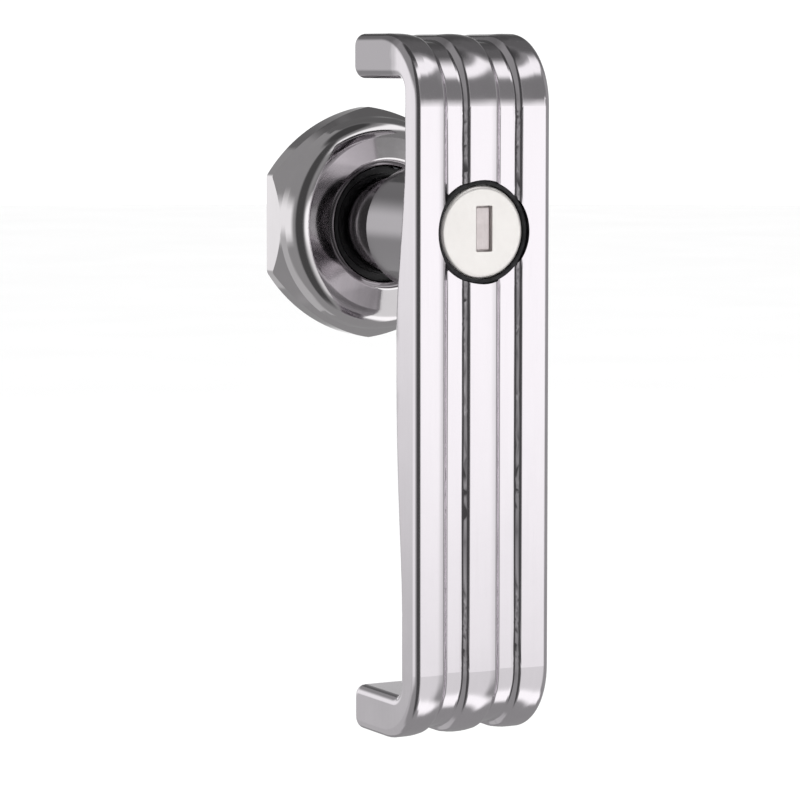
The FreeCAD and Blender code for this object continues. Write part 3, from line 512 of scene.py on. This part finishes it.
def look_direction(nodes):
    """Azimuth and elevation, in degrees, of what a reflection looks at."""
    coordinates = nodes.node("ShaderNodeTexCoord")
    parts = nodes.node("ShaderNodeSeparateXYZ")
    nodes.link(coordinates.outputs["Generated"], parts.inputs[0])
    forward = nodes.calculate("MULTIPLY", parts.outputs["Y"], -1)
    turn = nodes.calculate("ARCTAN2", parts.outputs["X"], forward)
    rise = nodes.calculate("ARCSINE", parts.outputs["Z"])
    return [nodes.calculate("MULTIPLY", angle, 180 / math.pi) for angle in (turn, rise)]


def make_world():
    """A white surround for the camera and for soft light, with boxes and flags that only reflections see."""
    world = bpy.data.worlds.new("studio")
    bpy.context.scene.world = world
    world.use_nodes = True
    nodes = Nodes(world.node_tree)
    azimuth, elevation = look_direction(nodes)
    level = nodes.calculate("ADD", STUDIO[0][-1], 0)
    for az_low, az_high, el_low, el_high, across, up, light in STUDIO[1:]:
        sideways = nodes.band(azimuth, az_low, az_high, across)
        upright = nodes.band(elevation, el_low, el_high, up)
        mask = nodes.calculate("MULTIPLY", sideways, upright)
        difference = nodes.calculate("SUBTRACT", light, level)
        level = nodes.calculate("ADD", level, nodes.calculate("MULTIPLY", mask, difference))
    glossy = nodes.node("ShaderNodeLightPath").outputs["Is Glossy Ray"]
    reflected = nodes.calculate("MULTIPLY", glossy, level)
    surround = nodes.calculate("MULTIPLY", nodes.calculate("SUBTRACT", 1, glossy), SURROUND)
    background = world.node_tree.nodes["Background"]
    background.inputs["Color"].default_value = (1, 1, 1, 1)
    nodes.link(nodes.calculate("ADD", reflected, surround), background.inputs["Strength"])
    world.cycles.sampling_method = "NONE"


def make_floor():
    """A plain pale floor well below the handle."""
    mesh = bpy.data.meshes.new("floor")
    made = bmesh.new()
    bmesh.ops.create_circle(made, cap_ends=True, segments=96, radius=FLOOR_RADIUS)
    made.to_mesh(mesh)
    made.free()
    floor = bpy.data.objects.new("floor", mesh)
    bpy.context.scene.collection.objects.link(floor)
    floor.location.z = cad_bounds[0].z - FLOOR_BELOW
    f = Finish("floor", Specular_IOR_Level=0.2, Roughness=0.8)
    f.colours(f.noise(0.004, 3, 0.5), [(0.3, (0.92, 0.92, 0.92)), (0.7, (0.94, 0.94, 0.94))])
    mesh.materials.append(f.material)
    floor.visible_glossy = False


def make_lights():
    """A large soft key from the upper front right, which shapes shadows and isn't mirrored in the metal."""
    data = bpy.data.lights.new("key", "AREA")
    data.shape = "RECTANGLE"
    data.size, data.size_y = KEY_SIZE
    data.energy = KEY_WATTS
    key = bpy.data.objects.new("key", data)
    bpy.context.scene.collection.objects.link(key)
    key.location = KEY_PLACE
    key.rotation_mode = "QUATERNION"
    key.rotation_quaternion = (KEY_AIM - KEY_PLACE).to_track_quat("-Z", "Y")
    key.visible_glossy = False
    key.visible_camera = False


def make_camera():
    """The photograph's view: from the left of the front and a little above, through a long lens."""
    azimuth, elevation = math.radians(VIEW_AZIMUTH), math.radians(VIEW_ELEVATION)
    level_back = Vector((math.sin(azimuth), -math.cos(azimuth), 0))
    right = Vector((math.cos(azimuth), math.sin(azimuth), 0))
    back = level_back * math.cos(elevation) + Vector((0, 0, math.sin(elevation)))
    up = back.cross(right)
    lock_face = Vector((0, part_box("plug_cap")[0].y, 0))
    data = bpy.data.cameras.new("camera")
    data.lens = LENS_MM
    data.sensor_width = SENSOR_MM
    data.clip_start, data.clip_end = VIEW_CLIP
    camera = bpy.data.objects.new("camera", data)
    bpy.context.scene.collection.objects.link(camera)
    turned = Matrix((right, up, back)).transposed().to_4x4()
    turned.translation = lock_face + VIEW_DISTANCE * back - VIEW_LEFT * right - VIEW_DOWN * up
    camera.matrix_world = turned
    bpy.context.scene.camera = camera


def main():
    finish_nodes()
    make_fixing_screws()
    make_world()
    make_floor()
    make_lights()
    make_camera()
    bpy.context.scene.view_settings.view_transform = "Standard"


main()
